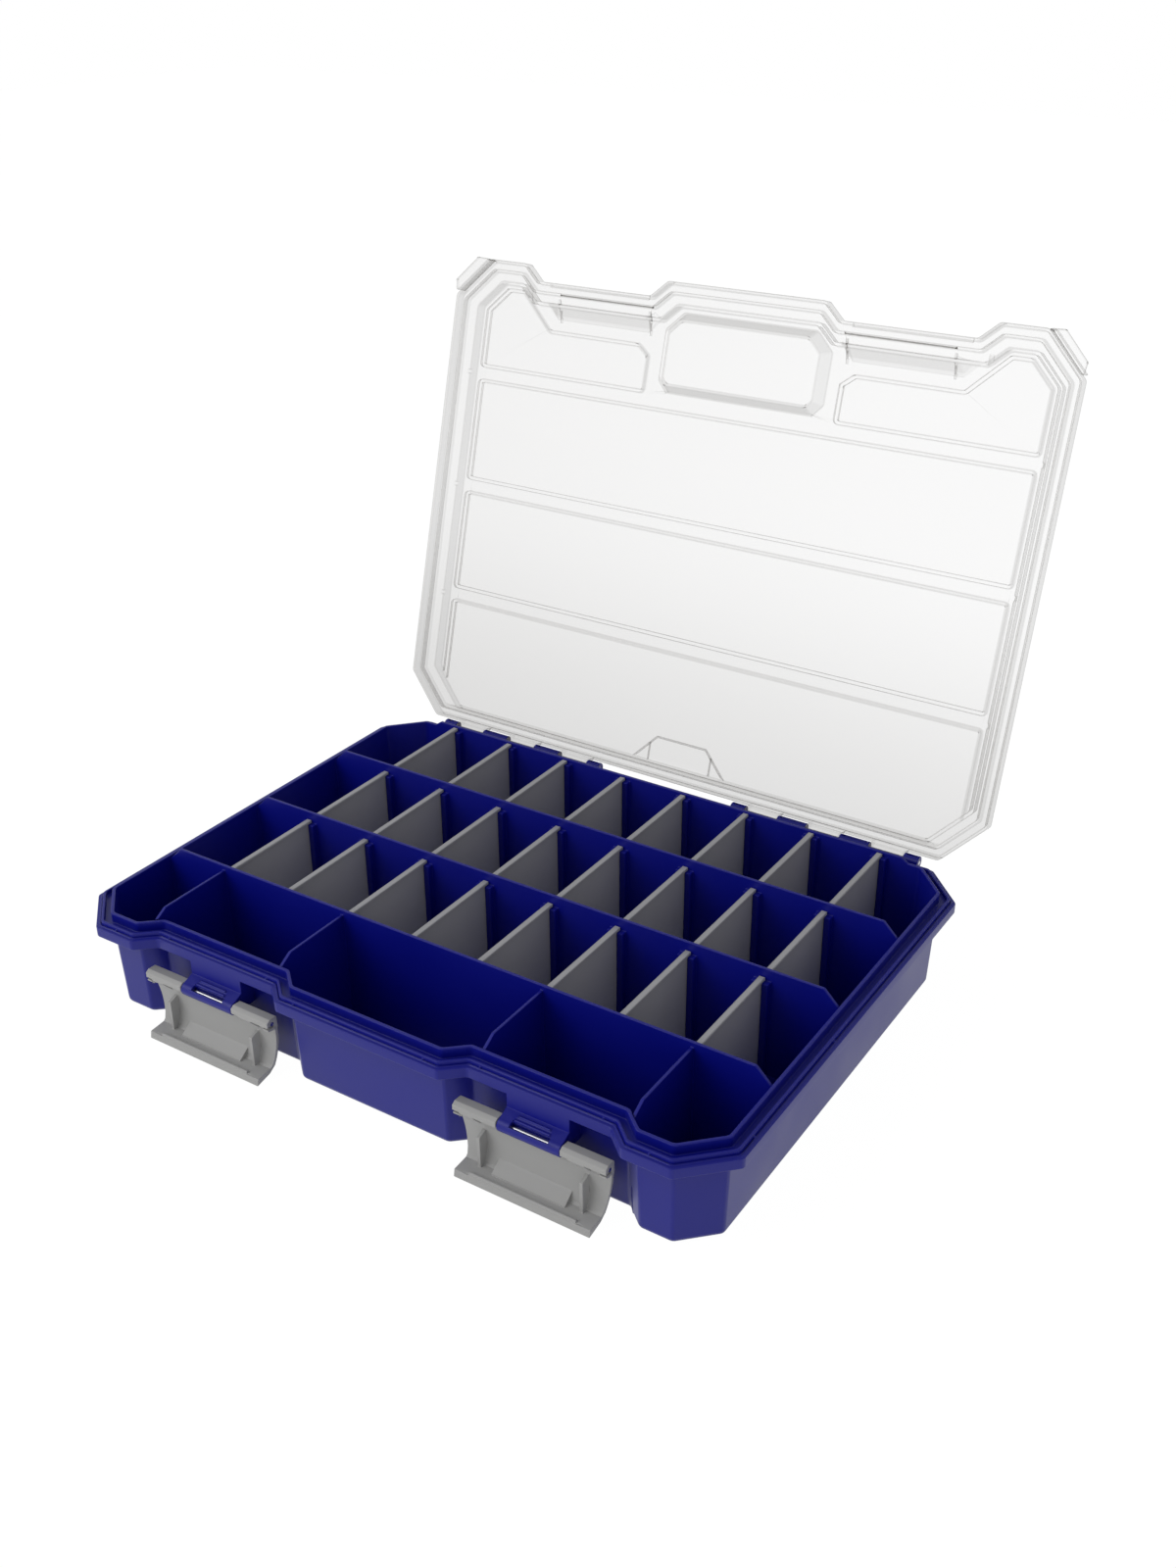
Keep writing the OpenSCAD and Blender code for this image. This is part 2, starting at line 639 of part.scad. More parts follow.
// Ribs under a front ramp, near its ends
module ramp_ribs() {
    for (x = [latch_x - recess_half + 7, latch_x + recess_half - 17.5])
        along_x(x - 0.5, x + 0.5)
            polygon([[recess_y, rim_h + 1.2], [recess_y + 14.2, ceiling_z - 0.6],
                     [recess_y + 14.2, ceiling_z + 1], [recess_y, rim_h + 4]]);
}

// Lid knuckle, drawn about the hinge axis with the lid closed
module lid_knuckle(x0, x1) {
    face = -(hinge_out - flange_w);
    difference() {
        along_x(x0, x1) union() {
            circle(hinge_r, $fn = round_fn);
            polygon([[face - skirt_t / 2, hinge_drop - ledge_drop + lid_gap], [face, hinge_drop - ledge_drop + lid_gap],
                     [-hinge_r, 0], [0, 0], [0.5, hinge_r - 0.1], [face, 8], [face - skirt_t / 2, 8]]);
        }
        along_x(x0 - 1, x1 + 1) circle(pin_r + pin_fit, $fn = round_fn);
    }
}

module lid_closed() {
    top_z = ceiling_z + lid_t;
    difference() {
        union() {
            slab(outline(flange_w), plate_z, plate_z + lid_t);
            slab(outline(-cap_in, cap_back), plate_z, top_z);
        }
        difference() {
            slab(outline(-cap_in - 2, cap_back), plate_z - 1, ceiling_z);
            sunk_panels(0, panel_z, top_z);
            loft([[rim_h + 0.6, label_panel(5.6)], [top_z, label_panel(0)]]);
            mirror_pair() front_ramp(2);
            rear_ramp(2);
        }
        sunk_panels(-2, panel_z + lid_t, top_z + 1);
        loft([[rim_h + 0.6 + lid_t, label_panel(7.2)], [top_z + eps, label_panel(2)]]);
        mirror_pair() front_ramp(0);
        rear_ramp(0);
        // clearance over the tray's inner walls
        inner_walls(lid_gap);
    }
    ring(outline(flange_w), outline(flange_w - skirt_t), ledge_z + lid_gap, plate_z + eps);
    ring(outline(lip_at - lip_t / 2 - 1.3), outline(lip_at - lip_t / 2 - 2.9), ledge_z + 1, plate_z + eps);
    mirror_pair() {
        corner_tab();
        ramp_ribs();
        // rib that the latch's hook catches behind
        translate([latch_x - catch_len / 2, recess_face, plate_z + lid_t - eps])
            cube([catch_len, 2.4, 4.6 - lid_gap - lid_t]);
        translate([0, hinge_y, hinge_z])
            for (k = [0:2]) {
                x = hinge_start + hinge_knuckle_w / 2 + k * hinge_step;
                lid_knuckle(x + knuckle_gap, x + hinge_space_w - knuckle_gap);
            }
    }
}

module lid() {
    color(lid_clear)
        translate([0, hinge_y, hinge_z]) rotate([-open_angle, 0, 0]) translate([0, -hinge_y, -hinge_z])
            lid_closed();
}

tray();
lid();
hinge_pin(-1);  // hinge_pin_left
hinge_pin(1);  // hinge_pin_right
latch(-1);  // latch_left
latch(1);  // latch_right
latch_pin(-1);  // latch_pin_left
latch_pin(1);  // latch_pin_right
for (r = [0:rows - 1], c = [1:columns - 1])
    divider(r, c);
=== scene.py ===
"""Small-parts organiser case: looks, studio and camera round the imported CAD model."""

import json
import logging
import math
from dataclasses import dataclass, field
from enum import Enum
from typing import Any, Sequence

import bmesh
import bpy
from mathutils import Matrix, Vector


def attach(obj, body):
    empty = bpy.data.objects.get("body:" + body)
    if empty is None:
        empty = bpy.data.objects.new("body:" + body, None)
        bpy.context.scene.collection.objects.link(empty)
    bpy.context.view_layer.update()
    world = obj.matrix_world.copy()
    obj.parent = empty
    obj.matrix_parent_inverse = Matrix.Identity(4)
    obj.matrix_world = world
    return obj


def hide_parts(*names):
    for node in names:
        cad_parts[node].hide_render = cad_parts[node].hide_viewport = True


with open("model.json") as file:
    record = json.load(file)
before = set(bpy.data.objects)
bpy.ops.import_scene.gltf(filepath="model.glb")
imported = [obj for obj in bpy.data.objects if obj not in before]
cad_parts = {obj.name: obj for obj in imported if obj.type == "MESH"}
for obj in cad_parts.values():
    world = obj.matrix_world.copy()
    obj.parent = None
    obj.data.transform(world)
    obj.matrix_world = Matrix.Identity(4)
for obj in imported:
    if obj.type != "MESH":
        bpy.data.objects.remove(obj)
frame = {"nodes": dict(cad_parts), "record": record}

LOG = logging.getLogger("organiser_case")
MM = 0.001
# Past this angle two faces meet in an edge, and inside it they are one round surface.
SMOOTH = math.radians(35)
# Within this distance of the lid's hinge axis the mouldings turn close to each other.
HINGE_ROOM = 7 * MM

Links = dict[str, Any]


def linear(colour: str) -> tuple[float, float, float, float]:
    """Turn an sRGB hex colour into the linear one that shaders read.

    Args:
        colour: The colour as "#rrggbb".

    Returns:
        Red, green, blue and an alpha of 1.
    """
    parts = [int(colour[i : i + 2], 16) / 255 for i in (1, 3, 5)]
    flat = [c / 12.92 if c <= 0.04045 else ((c + 0.055) / 1.055) ** 2.4 for c in parts]
    return (flat[0], flat[1], flat[2], 1.0)


def add_node(
    tree: bpy.types.NodeTree,
    kind: str,
    links: Links | None = None,
    **settings: Any,
) -> bpy.types.Node:
    """Add a shader node with its settings, values and incoming links.

    Args:
        tree: The material's or world's node tree.
        kind: The node's class, such as ShaderNodeTexNoise.
        links: For each input, by name or number, a plain value or an output socket.
        **settings: Properties of the node itself.

    Returns:
        The new node.
    """
    node = tree.nodes.new(kind)
    for name, value in settings.items():
        setattr(node, name, value)
    for key, value in (links or {}).items():
        if isinstance(value, bpy.types.NodeSocket):
            tree.links.new(value, node.inputs[key])
        else:
            node.inputs[key].default_value = value
    return node


def new_material(name: str) -> tuple[bpy.types.Material, bpy.types.NodeTree]:
    """Make an empty node material.

    Args:
        name: The material's name.

    Returns:
        The material and its node tree.
    """
    material = bpy.data.materials.new(name)
    material.use_nodes = True
    material.node_tree.nodes.clear()
    return material, material.node_tree


def lid_hinge() -> tuple[Vector, float]:
    """Find the lid's hinge and how far the lid stands open at rest.

    Returns:
        A point on the hinge's axis, and the angle from shut in radians.
    """
    joints = frame["record"]["behaviour"]["joints"]
    hinge = next(joint for joint in joints if joint["child"] == "lid")
    return Vector(hinge["pos_m"]), math.radians(-hinge["range_deg"][0])


@dataclass(frozen=True)
class MouldedPolypropylene:
    """Injection-moulded plastic: even colour, soft gloss, faint spark-eroded grain."""

    name: str
    colour: str
    shade: str
    roughness: float = 0.34
    shine: float = 0.4
    # Painted bounce light: the colour's gain at foot_mm, against 1 at rim_mm.
    foot: float = 1.0
    foot_mm: float = 8.0
    rim_mm: float = 66.0
    grain_mm: float = 0.9
    flow_mm: float = 70.0
    bump: float = 0.05

    def material(self) -> bpy.types.Material:
        """Build the material.

        Returns:
            The finished node material.
        """
        material, tree = new_material(self.name)
        place = add_node(tree, "ShaderNodeTexCoord").outputs["Object"]
        # Melt flow leaves broad, faint changes of shade across the wall.
        flow = add_node(
            tree,
            "ShaderNodeTexNoise",
            {"Vector": place, "Scale": 1000 / self.flow_mm, "Detail": 2.0},
        )
        tint = add_node(
            tree,
            "ShaderNodeMix",
            {0: flow.outputs["Fac"], 6: linear(self.shade), 7: linear(self.colour)},
            data_type="RGBA",
        )
        # Painted bounce light: some mouldings are made paler toward the foot of the
        # case, standing for light that the dividers throw onto each other's lower
        # faces.
        height = add_node(tree, "ShaderNodeSeparateXYZ", {"Vector": place})
        painted_light_gain = add_node(
            tree,
            "ShaderNodeMapRange",
            {
                "Value": height.outputs["Z"],
                "From Min": self.rim_mm * MM,
                "From Max": self.foot_mm * MM,
                "To Min": 1.0,
                "To Max": self.foot,
            },
        )
        tint_with_painted_light = add_node(
            tree,
            "ShaderNodeVectorMath",
            {0: tint.outputs[2], "Scale": painted_light_gain.outputs["Result"]},
            operation="SCALE",
        )
        # The mould's spark-eroded grain, drawn a little coarse so that it shows.
        grain = add_node(
            tree,
            "ShaderNodeTexNoise",
            {"Vector": place, "Scale": 1000 / self.grain_mm, "Detail": 3.0},
        )
        gloss = add_node(
            tree,
            "ShaderNodeMapRange",
            {
                "Value": flow.outputs["Fac"],
                "From Min": 0.3,
                "From Max": 0.7,
                "To Min": self.roughness - 0.03,
                "To Max": self.roughness + 0.05,
            },
        )
        relief = add_node(
            tree,
            "ShaderNodeBump",
            {
                "Height": grain.outputs["Fac"],
                "Strength": self.bump,
                "Distance": 0.05 * MM,
            },
        )
        skin = add_node(
            tree,
            "ShaderNodeBsdfPrincipled",
            {
                "Base Color": tint_with_painted_light.outputs["Vector"],
                "Roughness": gloss.outputs["Result"],
                "IOR": 1.49,
                "Specular IOR Level": self.shine,
                "Normal": relief.outputs["Normal"],
            },
        )
        add_node(tree, "ShaderNodeOutputMaterial", {"Surface": skin.outputs["BSDF"]})
        return material


@dataclass(frozen=True)
class ClearPolypropylene:
    """Clarified polypropylene, moulded: see-through, milky where it is seen edge-on."""

    name: str
    colour: str
    face: float = 0.022
    haze: float = 0.13
    haze_foot_mm: float = 50.0
    haze_top_mm: float = 230.0
    edge: float = 0.47
    blend: float = 0.35
    # Painted reflection: the alpha added on the ramps for the darker surroundings that
    # they reflect.
    slope: float = 0.072
    # Painted edge lines: the alpha added along each edge, over line_mm, for the light
    # that it bends.
    line: float = 0.12
    line_mm: float = 0.8
    roughness: float = 0.12
    flow_mm: float = 45.0

    def painted_edge_line(self, tree: bpy.types.NodeTree) -> bpy.types.NodeSocket:
        """Find the edges between faces, where painted grey lines stand for the light
        that they gather and bend.

        Args:
            tree: The material's node tree.

        Returns:
            A socket that rises to 1 along each edge.
        """
        rounded = add_node(
            tree, "ShaderNodeBevel", {"Radius": self.line_mm * MM}, samples=6
        )
        shape = add_node(tree, "ShaderNodeNewGeometry")
        match = add_node(
            tree,
            "ShaderNodeVectorMath",
            {0: rounded.outputs["Normal"], 1: shape.outputs["Normal"]},
            operation="DOT_PRODUCT",
        )
        return add_node(
            tree,
            "ShaderNodeMapRange",
            {
                "Value": match.outputs["Value"],
                "From Min": 0.9996,
                "From Max": 0.995,
            },
        ).outputs["Result"]

    def ramp_share(self, tree: bpy.types.NodeTree) -> bpy.types.NodeSocket:
        """Find the faces that slope from one level of the lid to the next.

        Args:
            tree: The material's node tree.

        Returns:
            A socket that is 1 on a ramp and 0 on the lid's flat panels and its skirt.
        """
        _, swing = lid_hinge()
        place = add_node(tree, "ShaderNodeTexCoord")
        lean = add_node(
            tree,
            "ShaderNodeVectorMath",
            {0: place.outputs["Normal"], 1: (0.0, math.sin(swing), math.cos(swing))},
            operation="DOT_PRODUCT",
        )
        level = add_node(
            tree, "ShaderNodeMath", {0: lean.outputs["Value"]}, operation="ABSOLUTE"
        )
        # By how level a face lies: the skirt is at 0, a ramp near 0.87, a panel at 1.
        ramp = add_node(tree, "ShaderNodeValToRGB", {"Fac": level.outputs[0]})
        stops = ramp.color_ramp.elements
        stops[0].position, stops[0].color = 0.15, (0.0, 0.0, 0.0, 1.0)
        stops[1].position, stops[1].color = 0.35, (0.25, 0.25, 0.25, 1.0)
        for position, share in ((0.75, 0.25), (0.83, 1.0), (0.91, 1.0), (0.97, 0.0)):
            stops.new(position).color = (share, share, share, 1.0)
        return ramp.outputs["Color"]

    def material(self) -> bpy.types.Material:
        """Build the material.

        Returns:
            The finished node material.
        """
        material, tree = new_material(self.name)
        place = add_node(tree, "ShaderNodeTexCoord").outputs["Object"]
        # The chilled skin ripples very slightly, which bends the reflections.
        ripple = add_node(
            tree,
            "ShaderNodeTexNoise",
            {"Vector": place, "Scale": 1000 / self.flow_mm, "Detail": 1.0},
        )
        gloss = add_node(
            tree,
            "ShaderNodeMapRange",
            {
                "Value": ripple.outputs["Fac"],
                "From Min": 0.3,
                "From Max": 0.7,
                "To Min": self.roughness * 0.7,
                "To Max": self.roughness * 1.4,
            },
        )
        relief = add_node(
            tree,
            "ShaderNodeBump",
            {"Height": ripple.outputs["Fac"], "Strength": 0.04, "Distance": 0.4 * MM},
        )
        # A skin seen edge-on holds more plastic in the line of sight.
        slant = add_node(
            tree,
            "ShaderNodeLayerWeight",
            {"Blend": self.blend, "Normal": relief.outputs["Normal"]},
        )
        # The skin is made greyer and less clear toward the hinge, at the foot of the
        # open lid.
        height = add_node(tree, "ShaderNodeSeparateXYZ", {"Vector": place})
        haze = add_node(
            tree,
            "ShaderNodeMapRange",
            {
                "Value": height.outputs["Z"],
                "From Min": self.haze_foot_mm * MM,
                "From Max": self.haze_top_mm * MM,
                "To Min": self.haze,
                "To Max": self.face,
            },
            interpolation_type="SMOOTHSTEP",
        )
        body = add_node(
            tree,
            "ShaderNodeMapRange",
            {
                "Value": slant.outputs["Facing"],
                "To Min": haze.outputs["Result"],
                "To Max": self.edge,
            },
        )
        # Painted reflection: the ramps turn greyer, standing for the darker
        # surroundings they reflect.
        alpha_with_painted_ramps = add_node(
            tree,
            "ShaderNodeMath",
            {0: self.ramp_share(tree), 1: self.slope, 2: body.outputs["Result"]},
            operation="MULTIPLY_ADD",
        )
        # Painted edge lines: grey lines along the edges stand for the light that the
        # edges bend.
        alpha_with_painted_lines = add_node(
            tree,
            "ShaderNodeMath",
            {0: self.painted_edge_line(tree), 1: self.line, 2: alpha_with_painted_ramps.outputs[0]},
            operation="MULTIPLY_ADD",
            use_clamp=True,
        )
        skin = add_node(
            tree,
            "ShaderNodeBsdfPrincipled",
            {
                "Base Color": linear(self.colour),
                "Roughness": gloss.outputs["Result"],
                "IOR": 1.49,
                "Alpha": alpha_with_painted_lines.outputs[0],
                "Normal": relief.outputs["Normal"],
            },
        )
        add_node(tree, "ShaderNodeOutputMaterial", {"Surface": skin.outputs["BSDF"]})
        return material


@dataclass(frozen=True)
class DrawnSteelWire:
    """Bright drawn steel wire: mirror-like with fine draw lines along its length."""

    name: str
    colour: str
    roughness: float = 0.22
    line_mm: float = 0.25

    def material(self) -> bpy.types.Material:
        """Build the material.

        Returns:
            The finished node material.
        """
        material, tree = new_material(self.name)
        place = add_node(tree, "ShaderNodeTexCoord").outputs["Object"]
        # Draw lines run along X, so the pattern is stretched that way.
        along = add_node(
            tree, "ShaderNodeMapping", {"Vector": place, "Scale": (0.02, 1.0, 1.0)}
        )
        lines = add_node(
            tree,
            "ShaderNodeTexNoise",
            {
                "Vector": along.outputs["Vector"],
                "Scale": 1000 / self.line_mm,
                "Detail": 2.0,
            },
        )
        gloss = add_node(
            tree,
            "ShaderNodeMapRange",
            {
                "Value": lines.outputs["Fac"],
                "From Min": 0.3,
                "From Max": 0.7,
                "To Min": self.roughness * 0.7,
                "To Max": self.roughness * 1.5,
            },
        )
        skin = add_node(
            tree,
            "ShaderNodeBsdfPrincipled",
            {
                "Base Color": linear(self.colour),
                "Metallic": 1.0,
                "Roughness": gloss.outputs["Result"],
            },
        )
        add_node(tree, "ShaderNodeOutputMaterial", {"Surface": skin.outputs["BSDF"]})
        return material


@dataclass
class Studio:
    """Plain white studio: floor, surround, soft lamps and the photograph's camera."""

    target: Vector = field(default_factory=lambda: Vector((-39.8, 130.3, 64.7)) * MM)
    distance: float = 1089.6 * MM
    azimuth: float = 32.95
    elevation: float = 28.32
    roll: float = -0.34
    lens: float = 1682 / 1600 * 36
    horizon: float = 0.95
    zenith: float = 0.45
    right: float = 0.42
    floor_size: float = 9.0
    floor_glow: float = 1.02
    floor_share: float = 0.97

    def camera(self) -> None:
        """Set the camera where the photograph was taken from."""
        a, e = math.radians(self.azimuth), math.radians(self.elevation)
        t = math.radians(self.roll)
        back = Vector(
            (math.sin(a) * math.cos(e), -math.cos(a) * math.cos(e), math.sin(e))
        )
        right = Vector((math.cos(a), math.sin(a), 0.0))
        up = back.cross(right)
        tilted = right * math.cos(t) + up * math.sin(t)
        raised = -right * math.sin(t) + up * math.cos(t)
        bpy.ops.object.camera_add()
        eye = bpy.context.object
        eye.name = "photo_camera"
        eye.data.lens = self.lens
        eye.data.sensor_width = 36.0
        eye.data.sensor_fit = "AUTO"
        eye.data.clip_start = 0.01
        turn = Matrix((tilted, raised, back)).transposed().to_4x4()
        eye.matrix_world = (
            Matrix.Translation(self.target + back * self.distance) @ turn
        )
        bpy.context.scene.camera = eye

    def seen(self, tree: bpy.types.NodeTree) -> bpy.types.NodeSocket:
        """Find whether a ray shows the background: straight, mirrored or through glass.

        Args:
            tree: The node tree to build in.

        Returns:
            A socket that is 1 for such a ray and 0 for any other.
        """
        path = add_node(tree, "ShaderNodeLightPath")
        mirrored = add_node(
            tree,
            "ShaderNodeMath",
            {0: path.outputs["Is Camera Ray"], 1: path.outputs["Is Glossy Ray"]},
            operation="MAXIMUM",
        )
        return add_node(
            tree,
            "ShaderNodeMath",
            {0: mirrored.outputs[0], 1: path.outputs["Is Transmission Ray"]},
            operation="MAXIMUM",
        ).outputs[0]

    def surround(self) -> None:
        """Make the surround: white to the eye, but dimmer overhead and at the right."""
        world = bpy.data.worlds.new("white_surround")
        world.use_nodes = True
        bpy.context.scene.world = world
        tree = world.node_tree
        tree.nodes.clear()
        way = add_node(tree, "ShaderNodeTexCoord")
        height = add_node(
            tree, "ShaderNodeSeparateXYZ", {"Vector": way.outputs["Generated"]}
        )
        level = add_node(
            tree,
            "ShaderNodeMapRange",
            {
                "Value": height.outputs["Z"],
                "To Min": self.horizon,
                "To Max": self.zenith,
            },
        )
        side = add_node(
            tree,
            "ShaderNodeMapRange",
            {"Value": height.outputs["X"], "To Min": 1.0, "To Max": self.right},
        )
        shaded = add_node(
            tree,
            "ShaderNodeMath",
            {0: level.outputs["Result"], 1: side.outputs["Result"]},
            operation="MULTIPLY",
        )
        path = add_node(tree, "ShaderNodeLightPath")
        lit = add_node(
            tree,
            "ShaderNodeMapRange",
            {
                "Value": path.outputs["Is Camera Ray"],
                "To Min": shaded.outputs[0],
                "To Max": 1.0,
            },
        )
        sky = add_node(
            tree,
            "ShaderNodeBackground",
            {"Color": linear("#ffffff"), "Strength": lit.outputs["Result"]},
        )
        add_node(tree, "ShaderNodeOutputWorld", {"Surface": sky.outputs[0]})

    def floor(self) -> None:
        """Make the pale floor under the case."""
        bpy.ops.object.select_all(action="DESELECT")
        bpy.ops.mesh.primitive_plane_add(
            size=self.floor_size, location=(0, 0, -0.02 * MM)
        )
        sheet = bpy.context.object
        sheet.name = "studio_floor"
        material, tree = new_material("white_paper_floor")
        white = linear("#ffffff")
        paper = add_node(tree, "ShaderNodeBsdfDiffuse", {"Color": white})
        glow = add_node(
            tree, "ShaderNodeEmission", {"Color": white, "Strength": self.floor_glow}
        )
        share = add_node(
            tree,
            "ShaderNodeMath",
            {0: self.seen(tree), 1: self.floor_share},
            operation="MULTIPLY",
        )
        mix = add_node(
            tree,
            "ShaderNodeMixShader",
            {0: share.outputs[0], 1: paper.outputs[0], 2: glow.outputs[0]},
        )
        add_node(tree, "ShaderNodeOutputMaterial", {"Surface": mix.outputs[0]})
        sheet.data.materials.append(material)

    def lamp(
        self, name: str, place: Sequence[float], size: float, power: float
    ) -> None:
        """Add a soft square lamp that points at the case.

        Args:
            name: The lamp's name.
            place: Its position in metres.
            size: The length of its side in metres.
            power: Its power in watts.
        """
        bpy.ops.object.light_add(type="AREA", location=place)
        lamp = bpy.context.object
        lamp.name = name
        lamp.data.size = size
        lamp.data.energy = power
        aim = Vector((0.0, 0.0, 0.06)) - Vector(place)
        lamp.rotation_euler = aim.to_track_quat("-Z", "Y").to_euler()
        lamp.visible_camera = False

    def build(self) -> None:
        """Make the whole studio."""
        self.camera()
        self.surround()
        self.floor()
        self.lamp("key_softbox", (-1.0, -1.3, 1.2), size=1.4, power=12.0)
        self.lamp("fill_softbox", (1.5, -0.6, 1.0), size=1.6, power=1.5)


class Finish(Enum):
    """The finishes of the case's pieces, each with its slot in the record."""

    TRAY = (
        MouldedPolypropylene(
            "moulded_polypropylene_blue",
            "#050d86",
            "#040b79",
            roughness=0.38,
            shine=0.36,
        ),
        "tray_plastic",
    )
    DIVIDER = (
        MouldedPolypropylene(
            "moulded_polypropylene_grey",
            "#a4a4a8",
            "#9d9da1",
            roughness=0.42,
            # Painted bounce light: each divider is made lighter toward its foot.
            foot=1.7,
        ),
        "divider_plastic",
    )
    LATCH = (
        MouldedPolypropylene(
            "moulded_acetal_light_grey", "#a6a6a5", "#9f9f9e", roughness=0.46
        ),
        "latch_plastic",
    )
    LID = (
        ClearPolypropylene("clarified_polypropylene", "#7d7870"),
        "lid_plastic",
    )
    PIN = (DrawnSteelWire("drawn_steel_wire", "#c9c9cc"), "steel_pin")


class Shop:
    """Builds each finish once and hands it to the pieces."""

    def __init__(self) -> None:
        """Start with no finish built."""
        self.built: dict[Finish, bpy.types.Material] = {}

    def dress(self, piece: bpy.types.Object, finish: Finish) -> None:
        """Give a piece its finish.

        Args:
            piece: The piece.
            finish: Its finish.
        """
        kind, slot = finish.value
        if finish not in self.built:
            self.built[finish] = kind.material()
        piece.data.materials.clear()
        piece.data.materials.append(self.built[finish])
        LOG.info("%s is %s", piece.name, kind.name)


@dataclass
class Moulding:
    """A moulded piece: the CAD solid with the small radii that a mould leaves."""

    node: str
    body: str
    finish: Finish
    radius: float = 0.4 * MM
    steps: int = 2
    sharp: float = 30.0

    def copy_solid(self) -> bpy.types.Object:
        """Copy the CAD node and join its loose triangles.

        They stay triangles: rounding the edges of a wide many-sided face folds it.

        Returns:
            The copy, apart from the frame.
        """
        solid = frame["nodes"][self.node]
        piece = solid.copy()
        piece.data = solid.data.copy()
        piece.name = f"{self.node}_moulding"
        for key in [k for k in piece.keys() if k.startswith("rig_")]:
            del piece[key]
        bpy.context.scene.collection.objects.link(piece)
        piece.parent = None
        bpy.ops.object.select_all(action="DESELECT")
        piece.select_set(True)
        bpy.context.view_layer.objects.active = piece
        bpy.ops.object.mode_set(mode="EDIT")
        bpy.ops.mesh.select_all(action="SELECT")
        bpy.ops.mesh.remove_doubles(threshold=0.002 * MM)
        bpy.ops.object.mode_set(mode="OBJECT")
        return piece

    def choose_edges(self, piece: bpy.types.Object) -> None:
        """Mark the sharp edges to be rounded, with no fillet where the hinges turn.

        Args:
            piece: The copied solid.
        """
        hinge, _ = lid_hinge()
        mesh = bmesh.new()
        mesh.from_mesh(piece.data)
        weight = mesh.edges.layers.float.new("bevel_weight_edge")
        for edge in mesh.edges:
            off = (edge.verts[0].co + edge.verts[1].co) / 2 - hinge
            fillet = not edge.is_convex and math.hypot(off.y, off.z) < HINGE_ROOM
            sharp = edge.calc_face_angle(0.0) > math.radians(self.sharp)
            edge[weight] = float(sharp and not fillet)
        mesh.to_mesh(piece.data)
        mesh.free()

    def soften(self, piece: bpy.types.Object) -> None:
        """Round the sharp edges by the mould's radius, with flat faces still flat.

        Args:
            piece: The copied solid, selected and active.
        """
        self.choose_edges(piece)
        edge = piece.modifiers.new("mould_radius", "BEVEL")
        edge.limit_method = "WEIGHT"
        edge.width = self.radius
        edge.segments = self.steps
        edge.use_clamp_overlap = False
        bpy.ops.object.modifier_apply(modifier=edge.name)
        bpy.ops.object.shade_smooth_by_angle(angle=SMOOTH)
        # Weighted by area, the normals bend over the small radii alone.
        even = piece.modifiers.new("even_normals", "WEIGHTED_NORMAL")
        even.keep_sharp = True
        bpy.ops.object.modifier_apply(modifier=even.name)

    def build(self, shop: Shop) -> bpy.types.Object:
        """Make the piece and put it on its body in the solid's place.

        Args:
            shop: Where the finish comes from.

        Returns:
            The finished piece.
        """
        piece = self.copy_solid()
        self.soften(piece)
        shop.dress(piece, self.finish)
        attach(piece, self.body)
        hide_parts(self.node)
        return piece


@dataclass
class TrayMoulding(Moulding):
    """The tray, with the blocks of its rear slots flush with the leaning wall."""

    block_y: float = 147.85 * MM
    block_z: float = 1.4 * MM
    wall_z: float = 4.0 * MM
    lean: float = 1.5 * MM
    near: float = 0.05 * MM

    def copy_solid(self) -> bpy.types.Object:
        """Copy the solid and draw each block's rear foot back to the wall's face.

        Returns:
            The copy, apart from the frame.
        """
        piece = super().copy_solid()
        mesh = bmesh.new()
        mesh.from_mesh(piece.data)
        rear = [v for v in mesh.verts if v.co.y > self.block_y - self.lean]
        for corner in rear:
            low = abs(corner.co.z - self.block_z) < self.near
            if not low or abs(corner.co.y - self.block_y) > self.near:
                continue
            wall = [
                v
                for v in rear
                if abs(v.co.x - corner.co.x) < self.near
                and abs(v.co.z - self.wall_z) < self.near
            ]
            if wall:
                corner.co = wall[0].co
        bmesh.ops.remove_doubles(mesh, verts=mesh.verts, dist=0.002 * MM)
        mesh.to_mesh(piece.data)
        mesh.free()
        return piece


